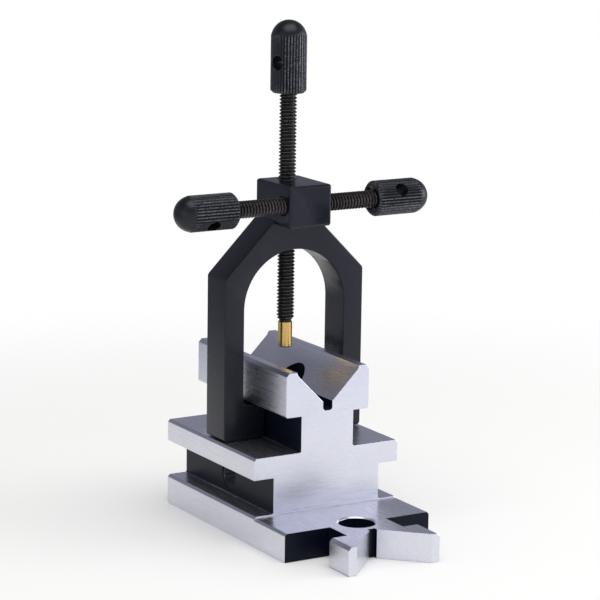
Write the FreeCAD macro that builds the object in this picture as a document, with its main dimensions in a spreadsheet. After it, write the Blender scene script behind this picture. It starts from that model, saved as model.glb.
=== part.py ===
import FreeCAD, Part
import math
import os

import Sketcher
from FreeCAD import Placement, Rotation, Vector

# Toolroom V block with a loose clamp yoke and three knob-headed screws.
# X runs across the block, Y along the V towards the back, Z up from the base.
# The origin is on the bottom face, on the centre plane, under the front face.

SIZES = (
    # block, cross-section
    ("block_width", 60.0, "width of the base and of the middle flange"),
    ("block_length", 64.8, "length of the V, front face to back face"),
    ("base_height", 11.05, "height of the base plate"),
    ("slot_height", 13.2, "height of each of the four side slots"),
    ("flange_height", 8.05, "thickness of the middle flange"),
    ("head_height", 16.3, "height of the head above the upper slots"),
    ("lower_web_width", 44.1, "width of the web between the lower slots"),
    ("upper_web_width", 21.7, "width of the web between the upper slots"),
    ("head_width", 34.44, "width of the head"),
    ("head_chamfer", 1.25, "chamfer along the top outer edges of the head"),
    ("head_break", 0.5, "broken edge along the bottom of the head"),
    ("edge_chamfer", 0.85, "chamfer along the edges of base and flange"),
    ("slot_root_radius", 0.6, "fillet at the foot of each web"),
    # the V
    ("vee_depth", 13.74, "depth of the V to its virtual corner"),
    ("vee_lip", 0.7, "width of the steep lip along each top edge of the V"),
    ("vee_lip_drop", 1.45, "height of that lip"),
    ("relief_width", 3.76, "width of the relief slot under the V"),
    ("relief_depth", 3.25, "depth of the relief slot below the V flanks"),
    ("relief_radius", 1.1, "fillet along the bottom of the relief slot"),
    # end jaw, seen from above
    ("jaw_step", 0.5, "how far the jaw is ground below the slot floor"),
    ("shelf_length", 21.67, "base in front of the front face, full width"),
    ("neck_width", 23.4, "width of the neck behind the jaw wings"),
    ("neck_length", 11.3, "length of the neck"),
    ("wing_width", 37.5, "width across the jaw wings"),
    ("wing_length", 12.7, "length of the jaw wings"),
    ("wing_tip", 3.3, "width of the flat at the tip of each wing"),
    ("wing_chamfer", 1.2, "chamfer along the top outer edges of the wings"),
    ("wing_break", 0.5, "broken edge along the bottom of the wings"),
    ("jaw_relief_width", 3.0, "width of the relief slot in the jaw"),
    ("jaw_relief_depth", 1.6, "depth of that slot behind the jaw flanks"),
    # holes in the block
    ("post_bore", 16.7, "bore down through the middle of the V"),
    ("side_hole", 8.8, "cross hole from the left side into the post bore"),
    ("shelf_hole", 13.0, "hole in the shelf before the neck"),
    ("shelf_hole_setback", 0.8, "hole centre behind the front of the shelf"),
    ("hole_chamfer", 0.5, "broken edge at the mouth of each hole"),
    # yoke
    ("yoke_width", 57.7, "width over the two legs"),
    ("yoke_opening", 41.8, "width between the two legs"),
    ("yoke_thickness", 13.35, "thickness of the yoke along the V"),
    ("yoke_place", 24.0, "front of the yoke behind the front face"),
    ("leg_height", 59.65, "height of the legs, foot to shoulder"),
    ("arch_rise", 68.45, "height of the crown of the arch above the feet"),
    ("lug_gap", 0.35, "gap above and below each lug in its slot"),
    ("lug_reach", 8.7, "how far each lug stands in from its leg"),
    ("shoulder_radius", 2.0, "rounding of the outer shoulders"),
    ("foot_radius", 1.2, "rounding of the outer foot edges"),
    ("plate_edge_radius", 0.4, "rounding of the front and back edges of the yoke"),
    ("boss_width", 17.4, "width of the screw boss"),
    ("boss_depth", 23.6, "length of the boss along the V"),
    ("boss_height", 15.1, "height of the boss"),
    ("boss_rise", 9.6, "underside of the boss above the crown of the arch"),
    ("boss_radius", 1.0, "rounding of the cast edges of the boss"),
    # screws
    ("thread_diameter", 6.35, "major diameter of the quarter-inch thread"),
    ("bore_clearance", 0.05, "radial clearance of a screw in the yoke"),
    ("bore_countersink", 0.5, "countersink at the mouths of the bores"),
    ("tip_diameter", 5.2, "diameter of the brass tips"),
    ("tip_chamfer", 0.4, "chamfer at the free end of a tip"),
    ("tip_seat_gap", 0.1, "end play between a tip and its screw"),
    ("spigot_diameter", 2.4, "spigot on which a tip turns"),
    ("spigot_length", 1.9, "length of that spigot"),
    ("spigot_clearance", 0.05, "radial clearance of the spigot"),
    ("thread_lead", 0.9, "length of the cone at the end of a thread"),
    ("neck_diameter", 4.4, "diameter of the short neck above a tip"),
    ("neck_run", 0.6, "length of that neck"),
    ("knob_seat", 6.0, "length of screw held inside a knob"),
    ("knob_seat_diameter", 5.0, "diameter of the screw inside a knob"),
    ("main_tip_length", 9.3, "length of the tip under the yoke"),
    ("main_thread_length", 83.2, "thread of the main screw, neck to knob"),
    ("main_tip_drop", 37.1, "free end of the main tip below the crown"),
    ("main_knurl_length", 20.8, "knurled length of the main knob"),
    ("side_tip_length", 2.8, "length of the tip of a side screw"),
    ("side_thread_length", 24.8, "thread of a side screw, neck to knob"),
    ("side_tip_gap", 1.2, "gap between the two side tips in the boss"),
    ("side_knurl_length", 17.7, "knurled length of a side knob"),
    ("side_screw_inset", 5.3, "side screw axis behind the front of the boss"),
    # knobs
    ("knob_diameter", 13.0, "diameter over the knurl"),
    ("dome_rise", 5.3, "height of the dome beyond the knurl"),
    ("dome_shoulder", 0.15, "step from the knurl in to the dome"),
    ("knob_chamfer", 0.9, "chamfer at the screw end of a knob"),
    ("knob_dish", 1.0, "depth of the dished end round the screw"),
    ("knob_dish_diameter", 9.4, "diameter of that dish"),
    ("bar_hole", 5.0, "cross hole for a tommy bar"),
    ("bar_countersink", 0.4, "countersink at the mouths of the bar hole"),
    ("main_bar_hole_place", 11.0, "bar hole above the screw end, main knob"),
    ("side_bar_hole_place", 9.8, "bar hole above the screw end, side knob"),
    ("knurl_ridges", 36, "ridges round a knob"),
    ("knurl_depth", 0.35, "depth of the knurl grooves"),
    ("knurl_land", 0.25, "flat left on each ridge"),
)

doc = FreeCAD.newDocument("v_block_with_yoke")
sheet = doc.addObject("Spreadsheet::Sheet", "Sizes")
for row, (alias, number, meaning) in enumerate(SIZES, start=1):
    sheet.set("A%d" % row, meaning)
    sheet.set("B%d" % row, str(number))
    sheet.setAlias("B%d" % row, alias)
doc.recompute()


def cell(alias):
    return "Sizes." + alias


def half(alias):
    return "Sizes.%s / 2" % alias


def value(expression):
    result = sheet.evalExpression(expression)
    return float(getattr(result, "Value", result))


# Heights in the block, built up from the base.
FLANGE_BOTTOM = "(Sizes.base_height + Sizes.slot_height)"
FLANGE_TOP = "(%s + Sizes.flange_height)" % FLANGE_BOTTOM
HEAD_BOTTOM = "(%s + Sizes.slot_height)" % FLANGE_TOP
HEAD_TOP = "(%s + Sizes.head_height)" % HEAD_BOTTOM
VEE_CORNER = "(%s - Sizes.vee_depth)" % HEAD_TOP
JAW_TOP = "(Sizes.base_height - Sizes.jaw_step)"

# Heights in the yoke, built up from its feet, which stand over the flange.
FOOT = "(%s + Sizes.lug_gap)" % FLANGE_TOP
LUG_TOP = "(%s - Sizes.lug_gap)" % HEAD_BOTTOM
SHOULDER = "(%s + Sizes.leg_height)" % FOOT
CROWN = "(%s + Sizes.arch_rise)" % FOOT
ARCH_CENTRE = "(%s - Sizes.yoke_opening / 2)" % CROWN
BOSS_BOTTOM = "(%s + Sizes.boss_rise)" % CROWN
BOSS_TOP = "(%s + Sizes.boss_height)" % BOSS_BOTTOM

# Places along the V, where the boss is flush with the back of the yoke.
YOKE_BACK = "(Sizes.yoke_place + Sizes.yoke_thickness)"
MAIN_AXIS_Y = "(Sizes.yoke_place + Sizes.yoke_thickness / 2)"
BOSS_FRONT = "(%s - Sizes.boss_depth)" % YOKE_BACK
SIDE_AXIS_Y = "(%s + Sizes.side_screw_inset)" % BOSS_FRONT
SIDE_AXIS_Z = "(%s + Sizes.boss_height / 2)" % BOSS_BOTTOM


def new_body(name):
    body = doc.addObject("PartDesign::Body", name)
    body.Label = name
    return body


def origin_feature(body, role):
    return [f for f in body.Origin.OriginFeatures if f.Role == role][0]


def new_sketch(body, role, name, offset="0"):
    """Sketch on one of the body's own origin planes, offset along its normal."""
    sketch = body.newObject("Sketcher::SketchObject", name)
    sketch.AttachmentSupport = (origin_feature(body, role), [""])
    sketch.MapMode = "FlatFace"
    sketch.setExpression("AttachmentOffset.Base.z", offset)
    return sketch


def place_point(sketch, geometry, end, x, y):
    """Tie one point of a sketch to two expressions."""
    for kind, expression in (("DistanceX", x), ("DistanceY", y)):
        number = value(expression)
        index = sketch.addConstraint(Sketcher.Constraint(kind, geometry, end, number))
        sketch.setExpression("Constraints[%d]" % index, expression)


def draw_outline(sketch, corners):
    """Closed outline of straight edges through corners given as expressions."""
    points = [Vector(value(x), value(y), 0) for x, y in corners]
    count = len(points)
    for i in range(count):
        sketch.addGeometry(Part.LineSegment(points[i], points[(i + 1) % count]))
    for i, (x, y) in enumerate(corners):
        sketch.addConstraint(Sketcher.Constraint("Coincident", i, 2, (i + 1) % count, 1))
        place_point(sketch, i, 1, x, y)


def mirrored(corners):
    """The right-hand corners, followed by their mirror images."""
    left = [("-(%s)" % x, y) for x, y in reversed(corners)]
    return corners + left


def draw_circle(sketch, x, y, radius):
    centre = Vector(value(x), value(y), 0)
    sketch.addGeometry(Part.Circle(centre, Vector(0, 0, 1), value(radius)))
    place_point(sketch, 0, 3, x, y)
    index = sketch.addConstraint(Sketcher.Constraint("Radius", 0, value(radius)))
    sketch.setExpression("Constraints[%d]" % index, radius)


def pad(body, sketch, name, length, reverse=False):
    feature = body.newObject("PartDesign::Pad", name)
    feature.Profile = sketch
    feature.setExpression("Length", length)
    feature.Reversed = reverse
    doc.recompute()
    return feature


def pocket(body, sketch, name, length=None, reverse=False):
    """Cut a sketch by a length, or through all both ways; a miss is an error."""
    before = body.Shape.Volume
    feature = body.newObject("PartDesign::Pocket", name)
    feature.Profile = sketch
    if length is None:
        feature.Type = "ThroughAll"
        feature.Midplane = True
    else:
        feature.setExpression("Length", length)
        feature.Reversed = reverse
    doc.recompute()
    if before - body.Shape.Volume < 1e-3:
        raise RuntimeError(name + " cuts nothing")
    return feature


def revolve(body, sketch, name):
    feature = body.newObject("PartDesign::Revolution", name)
    feature.Profile = sketch
    feature.ReferenceAxis = (origin_feature(body, "Z_Axis"), [""])
    feature.Angle = 360
    doc.recompute()
    return feature


def edges_where(body, test):
    """Names of the body's edges whose bounding box passes the test."""
    names = []
    for number, edge in enumerate(body.Shape.Edges, start=1):
        if test(edge.BoundBox):
            names.append("Edge%d" % number)
    return names


def near(a, b):
    return abs(a - b) < 1e-4


def dress(body, kind, name, test, size):
    """Chamfer or fillet every edge that passes the test."""
    names = edges_where(body, test)
    if not names:
        raise RuntimeError(name + " finds no edge")
    base = body.Tip
    feature = body.newObject("PartDesign::" + kind, name)
    feature.Base = (base, names)
    feature.setExpression("Size" if kind == "Chamfer" else "Radius", size)
    doc.recompute()
    return feature


def lies_in(box, axis, place):
    """True if an edge lies wholly in the plane where one axis has that place."""
    low = getattr(box, axis + "Min")
    high = getattr(box, axis + "Max")
    return near(low, place) and near(high, place)


def along(box, axis):
    """True for an edge that runs along one axis only."""
    others = [a for a in "XYZ" if a != axis]
    return all(getattr(box, a + "Length") < 1e-4 for a in others)


# ---------------------------------------------------------------- v_block

def make_block():
    body = new_body("v_block")

    section = new_sketch(body, "XZ_Plane", "block_section")
    draw_outline(section, mirrored([
        (half("block_width"), "0"),
        (half("block_width"), "Sizes.base_height - Sizes.edge_chamfer"),
        (half("block_width") + " - Sizes.edge_chamfer", cell("base_height")),
        (half("lower_web_width"), cell("base_height")),
        (half("lower_web_width"), FLANGE_BOTTOM),
        (half("block_width"), FLANGE_BOTTOM),
        (half("block_width"), FLANGE_TOP + " - Sizes.edge_chamfer"),
        (half("block_width") + " - Sizes.edge_chamfer", FLANGE_TOP),
        (half("upper_web_width"), FLANGE_TOP),
        (half("upper_web_width"), HEAD_BOTTOM),
        (half("head_width") + " - Sizes.head_break", HEAD_BOTTOM),
        (half("head_width"), HEAD_BOTTOM + " + Sizes.head_break"),
        (half("head_width"), HEAD_TOP + " - Sizes.head_chamfer"),
        (half("head_width") + " - Sizes.head_chamfer", HEAD_TOP),
    ]))
    pad(body, section, "block_pad", cell("block_length"), reverse=True)

    root_x = (value(half("lower_web_width")), value(half("upper_web_width")))
    root_z = (value("Sizes.base_height"), value(FLANGE_TOP))

    def is_slot_root(box):
        for x, z in zip(root_x, root_z):
            if near(abs(box.XMin), x) and near(box.ZMin, z) and along(box, "Y"):
                return True
        return False

    dress(body, "Fillet", "slot_roots", is_slot_root, cell("slot_root_radius"))

    # V and relief slot, one outline that is open above the head
    mouth = "(Sizes.vee_depth - Sizes.vee_lip_drop)"
    above = HEAD_TOP + " + 1"
    groove = new_sketch(body, "XZ_Plane", "vee_outline")
    draw_outline(groove, mirrored([
        (half("relief_width"), VEE_CORNER + " + Sizes.relief_width / 2 - Sizes.relief_depth"),
        (half("relief_width"), VEE_CORNER + " + Sizes.relief_width / 2"),
        (mouth, HEAD_TOP + " - Sizes.vee_lip_drop"),
        (mouth + " + Sizes.vee_lip", HEAD_TOP),
        (mouth + " + Sizes.vee_lip", above),
    ]))
    pocket(body, groove, "vee_groove")
    relief_x = value(half("relief_width"))
    relief_z = value(VEE_CORNER + " + Sizes.relief_width / 2 - Sizes.relief_depth")

    def is_relief_corner(box):
        return near(abs(box.XMin), relief_x) and near(box.ZMin, relief_z) and along(box, "Y")

    dress(body, "Fillet", "relief_corners", is_relief_corner, cell("relief_radius"))

    # shelf, neck and fishtail jaw, drawn from above
    neck_front = "(Sizes.shelf_length + Sizes.neck_length)"
    jaw_front = "(%s + Sizes.wing_length)" % neck_front
    jaw_mouth = "(Sizes.wing_width / 2 - Sizes.wing_tip)"
    jaw_corner = "(%s - %s)" % (jaw_front, jaw_mouth)
    relief_front = "(%s + Sizes.jaw_relief_width / 2)" % jaw_corner
    plan = new_sketch(body, "XY_Plane", "jaw_plan")
    draw_outline(plan, mirrored([
        (half("jaw_relief_width"), "Sizes.jaw_relief_depth - " + relief_front),
        (half("jaw_relief_width"), "-" + relief_front),
        (jaw_mouth, "-" + jaw_front),
        (half("wing_width"), "-" + jaw_front),
        (half("wing_width"), "-" + neck_front),
        (half("neck_width"), "-" + neck_front),
        (half("neck_width"), "-" + cell("shelf_length")),
        (half("block_width"), "-" + cell("shelf_length")),
        (half("block_width"), "0"),
    ]))
    pad(body, plan, "jaw_pad", JAW_TOP)

    # holes
    mid_length = "Sizes.block_length / 2"
    bore = new_sketch(body, "XY_Plane", "post_bore_circle")
    draw_circle(bore, "0", mid_length, half("post_bore"))
    pocket(body, bore, "post_bore")
    cross = new_sketch(body, "YZ_Plane", "side_hole_circle")
    draw_circle(cross, mid_length, "Sizes.base_height + Sizes.slot_height / 2", half("side_hole"))
    pocket(body, cross, "side_hole", half("block_width"))
    shelf = new_sketch(body, "XY_Plane", "shelf_hole_circle")
    draw_circle(shelf, "0", "Sizes.shelf_hole_setback - Sizes.shelf_length", half("shelf_hole"))
    pocket(body, shelf, "shelf_hole")

    # broken edges at the mouths of the holes
    jaw_z = value(JAW_TOP)
    web_x = value(half("lower_web_width"))
    bore_y = value(mid_length)
    shelf_y = value("Sizes.shelf_hole_setback - Sizes.shelf_length")

    def is_hole_mouth(box):
        if lies_in(box, "X", -web_x):
            return near(box.Center.y, bore_y) and near(box.YLength, box.ZLength)
        if not near(box.XLength, box.YLength) or not near(box.Center.x, 0):
            return False
        if lies_in(box, "Z", 0):
            return near(box.Center.y, bore_y) or near(box.Center.y, shelf_y)
        return lies_in(box, "Z", jaw_z) and near(box.Center.y, shelf_y)

    dress(body, "Chamfer", "hole_mouths", is_hole_mouth, cell("hole_chamfer"))

    # chamfers of the shelf and the jaw
    wing_x = value(half("wing_width"))

    def is_wing_top(box):
        return near(abs(box.XMin), wing_x) and near(box.ZMin, jaw_z) and along(box, "Y")

    def is_wing_bottom(box):
        return near(abs(box.XMin), wing_x) and near(box.ZMin, 0) and along(box, "Y")

    dress(body, "Chamfer", "wing_chamfers", is_wing_top, cell("wing_chamfer"))
    dress(body, "Chamfer", "wing_breaks", is_wing_bottom, cell("wing_break"))
    for side, sign in (("left", "-"), ("right", "")):
        corner = new_sketch(body, "XZ_Plane", side + "_shelf_corner")
        draw_outline(corner, [
            (sign + half("block_width"), JAW_TOP + " - Sizes.edge_chamfer"),
            (sign + half("block_width"), JAW_TOP),
            (sign + "(Sizes.block_width / 2 - Sizes.edge_chamfer)", JAW_TOP),
        ])
        pocket(body, corner, side + "_shelf_chamfer", cell("shelf_length"), reverse=True)
    return body


# ------------------------------------------------------------------- yoke

def make_yoke():
    body = new_body("yoke")

    lug_end = "(Sizes.yoke_opening / 2 - Sizes.lug_reach)"
    slope_top = "(%s + Sizes.yoke_width / 2 - Sizes.boss_width / 2)" % SHOULDER
    front = new_sketch(body, "XZ_Plane", "yoke_outline", "-Sizes.yoke_place")
    draw_outline(front, mirrored([
        (half("yoke_opening"), ARCH_CENTRE),
        (half("yoke_opening"), LUG_TOP),
        (lug_end, LUG_TOP),
        (lug_end, FOOT),
        (half("yoke_width"), FOOT),
        (half("yoke_width"), SHOULDER),
        (half("boss_width"), slope_top),
    ]))
    pad(body, front, "yoke_pad", cell("yoke_thickness"), reverse=True)

    arch = new_sketch(body, "XZ_Plane", "arch_circle")
    draw_circle(arch, "0", ARCH_CENTRE, half("yoke_opening"))
    pocket(body, arch, "arch")

    leg_x = value(half("yoke_width"))
    foot_z = value(FOOT)
    shoulder_z = value(SHOULDER)

    def is_shoulder(box):
        return near(abs(box.XMin), leg_x) and near(box.ZMin, shoulder_z) and along(box, "Y")

    def is_foot(box):
        return near(abs(box.XMin), leg_x) and near(box.ZMin, foot_z) and along(box, "Y")

    dress(body, "Fillet", "shoulders", is_shoulder, cell("shoulder_radius"))
    dress(body, "Fillet", "feet", is_foot, cell("foot_radius"))
    front_y = value(cell("yoke_place"))
    back_y = value(YOKE_BACK)

    def is_plate_edge(box):
        return lies_in(box, "Y", front_y) or lies_in(box, "Y", back_y)

    dress(body, "Fillet", "plate_edges", is_plate_edge, cell("plate_edge_radius"))

    boss = new_sketch(body, "XY_Plane", "boss_plan", BOSS_BOTTOM)
    draw_outline(boss, mirrored([
        (half("boss_width"), BOSS_FRONT),
        (half("boss_width"), YOKE_BACK),
    ]))
    pad(body, boss, "boss", cell("boss_height"))

    top_z = value(BOSS_TOP)
    bottom_z = value(BOSS_BOTTOM)
    boss_x = value(half("boss_width"))
    boss_y = value(BOSS_FRONT)

    def is_boss_edge(box):
        if lies_in(box, "Z", top_z):
            return True
        if lies_in(box, "Y", boss_y):
            return True
        return lies_in(box, "Z", bottom_z) and near(abs(box.XMin), boss_x) and along(box, "Y")

    dress(body, "Fillet", "boss_edges", is_boss_edge, cell("boss_radius"))

    bore_radius = "(Sizes.thread_diameter / 2 + Sizes.bore_clearance)"
    upright = new_sketch(body, "XY_Plane", "main_bore_circle")
    draw_circle(upright, "0", MAIN_AXIS_Y, bore_radius)
    pocket(body, upright, "main_bore")
    level = new_sketch(body, "YZ_Plane", "side_bore_circle")
    draw_circle(level, SIDE_AXIS_Y, SIDE_AXIS_Z, bore_radius)
    pocket(body, level, "side_bore")

    def is_bore_mouth(box):
        if lies_in(box, "Z", top_z):
            return near(box.Center.x, 0) and near(box.XLength, box.YLength)
        if near(box.XLength, 0) and near(abs(box.XMin), boss_x):
            return near(box.YLength, box.ZLength)
        return False

    dress(body, "Chamfer", "bore_mouths", is_bore_mouth, cell("bore_countersink"))
    return body


# ----------------------------------------------------------------- screws
# Each screw set is built upright, its tip's free end at the body's origin,
# and then stood or laid in its place as a whole.

def make_tip(name, length):
    body = new_body(name)
    profile = new_sketch(body, "XZ_Plane", name + "_profile")
    socket = "(Sizes.spigot_diameter / 2 + Sizes.spigot_clearance)"
    depth = "(Sizes.spigot_length + Sizes.tip_seat_gap)"
    draw_outline(profile, [
        ("0", "0"),
        (half("tip_diameter") + " - Sizes.tip_chamfer", "0"),
        (half("tip_diameter"), cell("tip_chamfer")),
        (half("tip_diameter"), length),
        (socket, length),
        (socket, "%s - %s" % (length, depth)),
        ("0", "%s - %s" % (length, depth)),
    ])
    revolve(body, profile, name + "_turning")
    return body


def make_screw(name, tip_length, thread_length):
    body = new_body(name)
    profile = new_sketch(body, "XZ_Plane", name + "_profile")
    seat = "(%s + Sizes.tip_seat_gap)" % tip_length
    thread_start = "(%s + Sizes.neck_run)" % seat
    knob_start = "(%s + %s)" % (thread_start, thread_length)
    draw_outline(profile, [
        ("0", "%s - Sizes.spigot_length" % seat),
        (half("spigot_diameter"), "%s - Sizes.spigot_length" % seat),
        (half("spigot_diameter"), seat),
        (half("neck_diameter"), seat),
        (half("neck_diameter"), thread_start),
        (half("thread_diameter"), thread_start + " + Sizes.thread_lead"),
        (half("thread_diameter"), knob_start + " + Sizes.knob_dish"),
        (half("knob_seat_diameter"), knob_start + " + Sizes.knob_dish"),
        (half("knob_seat_diameter"), knob_start + " + Sizes.knob_seat"),
        ("0", knob_start + " + Sizes.knob_seat"),
    ])
    revolve(body, profile, name + "_turning")
    return body, knob_start


def make_knob(name, base, knurl_length, bar_hole_place):
    """Domed knob whose screw end is at height base on its axis."""
    body = new_body(name)
    radius = half("knob_diameter")
    dome_radius = "(Sizes.knob_diameter / 2 - Sizes.dome_shoulder)"
    knurl_end = "(%s + %s)" % (base, knurl_length)
    dome_top = "(%s + Sizes.dome_rise)" % knurl_end

    turned = new_sketch(body, "XZ_Plane", name + "_profile")
    draw_outline(turned, [
        (half("knob_seat_diameter"), base + " + Sizes.knob_dish"),
        (half("thread_diameter") + " + Sizes.bore_clearance", base + " + Sizes.knob_dish"),
        (half("knob_dish_diameter"), base),
        (radius + " - Sizes.knob_chamfer", base),
        (radius, base + " + Sizes.knob_chamfer"),
        (radius, knurl_end),
        (dome_radius, knurl_end),
        ("0", knurl_end),
        ("0", base + " + Sizes.knob_seat"),
        (half("knob_seat_diameter"), base + " + Sizes.knob_seat"),
    ])
    revolve(body, turned, name + "_turning")

    # the dome is a cap of a sphere, an arc from the shoulder to the axis
    cap = new_sketch(body, "XZ_Plane", name + "_dome_profile")
    foot = Vector(value(dome_radius), value(knurl_end), 0)
    peak = Vector(0, value(dome_top), 0)
    centre = Vector(0, value(knurl_end), 0)
    sphere = "((%s ^ 2 + Sizes.dome_rise ^ 2) / (2 * Sizes.dome_rise))" % dome_radius
    drop = value(sphere) - value("Sizes.dome_rise")
    start = math.atan2(drop, foot.x)
    middle = Vector(0, value(dome_top) - value(sphere), 0)
    circle = Part.Circle(middle, Vector(0, 0, 1), value(sphere))
    cap.addGeometry(Part.ArcOfCircle(circle, start, math.pi / 2))
    cap.addGeometry(Part.LineSegment(peak, centre))
    cap.addGeometry(Part.LineSegment(centre, foot))
    cap.addConstraint(Sketcher.Constraint("Coincident", 0, 2, 1, 1))
    cap.addConstraint(Sketcher.Constraint("Coincident", 1, 2, 2, 1))
    cap.addConstraint(Sketcher.Constraint("Coincident", 2, 2, 0, 1))
    place_point(cap, 1, 1, "0", dome_top)
    place_point(cap, 2, 1, "0", knurl_end)
    place_point(cap, 2, 2, dome_radius, knurl_end)
    index = cap.addConstraint(Sketcher.Constraint("Radius", 0, value(sphere)))
    cap.setExpression("Constraints[%d]" % index, sphere)
    revolve(body, cap, name + "_dome")

    # one groove of the knurl, cut down from the end of the knurl
    groove = new_sketch(body, "XY_Plane", name + "_groove_section", knurl_end)
    half_mouth = "(pi * Sizes.knob_diameter / Sizes.knurl_ridges - Sizes.knurl_land) / 2"
    draw_outline(groove, [
        (radius + " - Sizes.knurl_depth", "0"),
        (radius + " + 0.1", "-(%s)" % half_mouth),
        (radius + " + 0.1", half_mouth),
    ])
    cut = pocket(body, groove, name + "_groove", knurl_length)
    knurl = body.newObject("PartDesign::PolarPattern", name + "_knurl")
    knurl.Originals = [cut]
    knurl.Axis = (origin_feature(body, "Z_Axis"), [""])
    knurl.Angle = 360
    knurl.setExpression("Occurrences", cell("knurl_ridges"))
    body.Tip = knurl
    doc.recompute()

    # tommy bar hole with a cone at each mouth
    bar_height = "(%s + %s)" % (base, bar_hole_place)
    bar = new_sketch(body, "XZ_Plane", name + "_bar_hole_circle")
    draw_circle(bar, "0", bar_height, half("bar_hole"))
    pocket(body, bar, name + "_bar_hole")
    for side, sign in (("front", "-"), ("back", "")):
        cone = new_sketch(body, "YZ_Plane", "%s_%s_countersink" % (name, side))
        inner = sign + "(%s - Sizes.bar_countersink)" % radius
        outer = sign + "(%s + Sizes.bar_countersink)" % radius
        draw_outline(cone, [
            (inner, bar_height),
            (inner, bar_height + " + Sizes.bar_hole / 2"),
            (outer, bar_height + " + Sizes.bar_hole / 2 + 2 * Sizes.bar_countersink"),
            (outer, bar_height),
        ])
        before = body.Shape.Volume
        sink = body.newObject("PartDesign::Groove", cone.Name + "_cut")
        sink.Profile = cone
        sink.ReferenceAxis = (cone, ["Edge4"])
        sink.Angle = 360
        doc.recompute()
        if before - body.Shape.Volume < 1e-3:
            raise RuntimeError(sink.Name + " cuts nothing")
    return body


def stand(bodies, place, rotation):
    """Put a screw set in its place; place is an expression for each axis."""
    for body in bodies:
        body.Placement = Placement(Vector(*[value(p) for p in place]), rotation)
        for axis, expression in zip("xyz", place):
            body.setExpression("Placement.Base." + axis, expression)


def make_screw_set(prefix, kind, place, rotation, turn):
    """Brass tip, screw and knob on one axis; turn is the knob's bar hole angle."""
    tip_length = cell(kind + "_tip_length")
    thread_length = cell(kind + "_thread_length")
    knurl_length = cell(kind + "_knurl_length")
    bar_hole_place = cell(kind + "_bar_hole_place")
    tip = make_tip(prefix + "_tip", tip_length)
    screw, knob_start = make_screw(prefix + "_screw", tip_length, thread_length)
    knob = make_knob(prefix + "_knob", knob_start, knurl_length, bar_hole_place)
    stand([tip, screw], place, rotation)
    stand([knob], place, rotation.multiply(Rotation(Vector(0, 0, 1), turn)))
    return [tip, screw, knob]


MAIN_PLACE = ("0", MAIN_AXIS_Y, CROWN + " - Sizes.main_tip_drop")
LEFT_PLACE = ("-Sizes.side_tip_gap / 2", SIDE_AXIS_Y, SIDE_AXIS_Z)
RIGHT_PLACE = ("Sizes.side_tip_gap / 2", SIDE_AXIS_Y, SIDE_AXIS_Z)
TO_LEFT = Rotation(Vector(0, 1, 0), -90)
TO_RIGHT = Rotation(Vector(0, 1, 0), 90)

parts = [make_block(), make_yoke()]
parts += make_screw_set("main", "main", MAIN_PLACE, Rotation(), 108)
parts += make_screw_set("left", "side", LEFT_PLACE, TO_LEFT, -46)
parts += make_screw_set("right", "side", RIGHT_PLACE, TO_RIGHT, -34)

doc.recompute()

for item in doc.Objects:
    if "Invalid" in item.State or "Error" in item.State:
        raise RuntimeError("%s failed: %s" % (item.Name, item.State))
for part in parts:
    if part.Shape.isNull() or not part.Shape.isValid():
        raise RuntimeError(part.Label + " is not a valid solid")
    if len(part.Shape.Solids) != 1:
        raise RuntimeError("%s has %d solids" % (part.Label, len(part.Shape.Solids)))

os.makedirs("parts", exist_ok=True)
for part in parts:
    part.Shape.exportStep("parts/%s.step" % part.Label)
    box = part.Shape.BoundBox
    print("%-12s volume %9.1f  x %7.2f %7.2f  y %7.2f %7.2f  z %7.2f %7.2f" % (
        part.Label, part.Shape.Volume, box.XMin, box.XMax, box.YMin, box.YMax, box.ZMin, box.ZMax))
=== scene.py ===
from math import cos, pi, radians, sin

import bmesh
import bpy
from mathutils import Matrix, Vector


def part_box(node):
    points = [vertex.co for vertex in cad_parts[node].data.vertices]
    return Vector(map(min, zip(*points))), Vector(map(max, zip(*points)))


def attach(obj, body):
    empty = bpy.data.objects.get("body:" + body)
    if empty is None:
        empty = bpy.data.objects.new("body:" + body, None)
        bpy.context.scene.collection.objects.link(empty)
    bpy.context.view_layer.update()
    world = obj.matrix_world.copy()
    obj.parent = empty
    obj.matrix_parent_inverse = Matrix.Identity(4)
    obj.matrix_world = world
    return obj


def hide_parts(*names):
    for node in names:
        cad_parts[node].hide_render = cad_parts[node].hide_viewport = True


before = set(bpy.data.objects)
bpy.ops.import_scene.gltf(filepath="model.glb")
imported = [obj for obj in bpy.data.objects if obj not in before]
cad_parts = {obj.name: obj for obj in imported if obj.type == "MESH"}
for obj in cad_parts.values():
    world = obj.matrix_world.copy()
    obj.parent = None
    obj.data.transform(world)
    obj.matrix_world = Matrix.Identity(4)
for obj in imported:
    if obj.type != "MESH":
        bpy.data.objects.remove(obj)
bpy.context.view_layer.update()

mm = 0.001


# ---- small helpers

def linearColour(hexCode):
    channels = [int(hexCode[i:i + 2], 16) / 255 for i in (1, 3, 5)]
    linear = [c / 12.92 if c <= 0.04045 else ((c + 0.055) / 1.055) ** 2.4 for c in channels]
    return (*linear, 1)


def addNode(tree, kind, inputs=None, **settings):
    # each input takes a value or a socket
    node = tree.nodes.new(kind)
    for name, value in settings.items():
        setattr(node, name, value)
    for socket, source in (inputs or {}).items():
        if isinstance(source, bpy.types.NodeSocket):
            tree.links.new(source, node.inputs[socket])
        else:
            node.inputs[socket].default_value = source
    return node


def newMaterial(name):
    material = bpy.data.materials.new(name)
    material.use_nodes = True
    tree = material.node_tree
    tree.nodes.clear()
    return material, tree


def newPiece(name, mesh):
    piece = bpy.data.objects.new(name, mesh)
    bpy.context.scene.collection.objects.link(piece)
    return piece


# ---- camera, on the block's front left

camera = {
    "azimuth": 31.03,       # degrees round from straight in front, towards the left side
    "elevation": 11.72,
    "roll": 0.86,
    "distance": 957.9,      # mm from the point it looks at
    "lookAt": (-0.23, 20.0, 83.18),
    "lens": 159.35,         # long lens on a 36 mm sensor
}


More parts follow.
